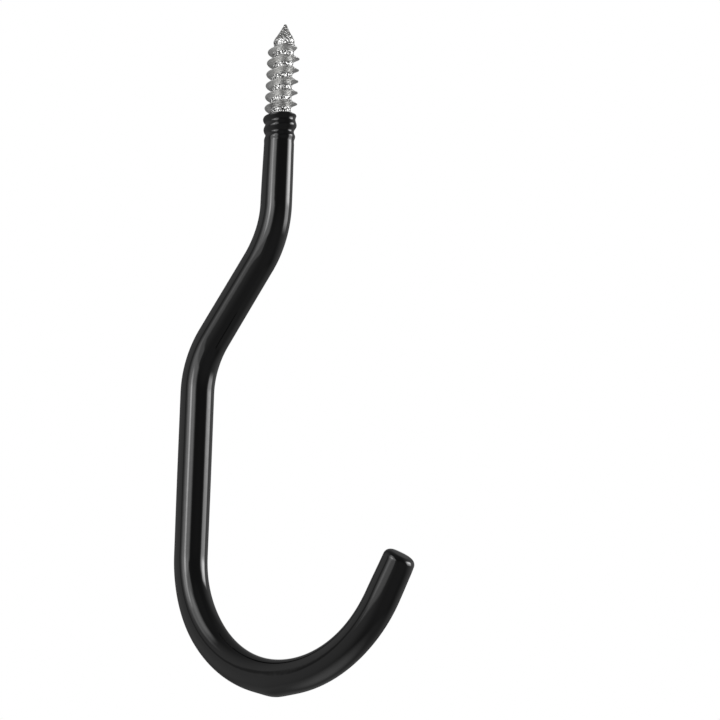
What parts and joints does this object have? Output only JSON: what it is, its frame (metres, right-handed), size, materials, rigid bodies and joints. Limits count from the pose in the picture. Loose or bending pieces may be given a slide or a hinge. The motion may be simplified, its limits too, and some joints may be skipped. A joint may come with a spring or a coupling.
{
  "type": "bicycle storage hook",
  "caption": "Screw-in steel hook with a black vinyl coat, an offset shank and a wide round throat that holds a bicycle by its wheel.",
  "frame": {"origin": "on the screw's axis, at the upper edge of the vinyl coat, where the face of the ceiling or joist comes", "axes": "+Z along the screw towards its point, +X from the shank towards the hook's mouth, so the bends lie in the XZ plane"},
  "size_m": [0.0899, 0.0105, 0.2045],
  "materials": {
    "plated_steel": "bright zinc plating over a rolled thread",
    "black_vinyl": "glossy dipped vinyl"
  },
  "bodies": {
    "root": {"steel_rod": "plated_steel", "vinyl_coating": "black_vinyl"}
  },
  "joints": []
}
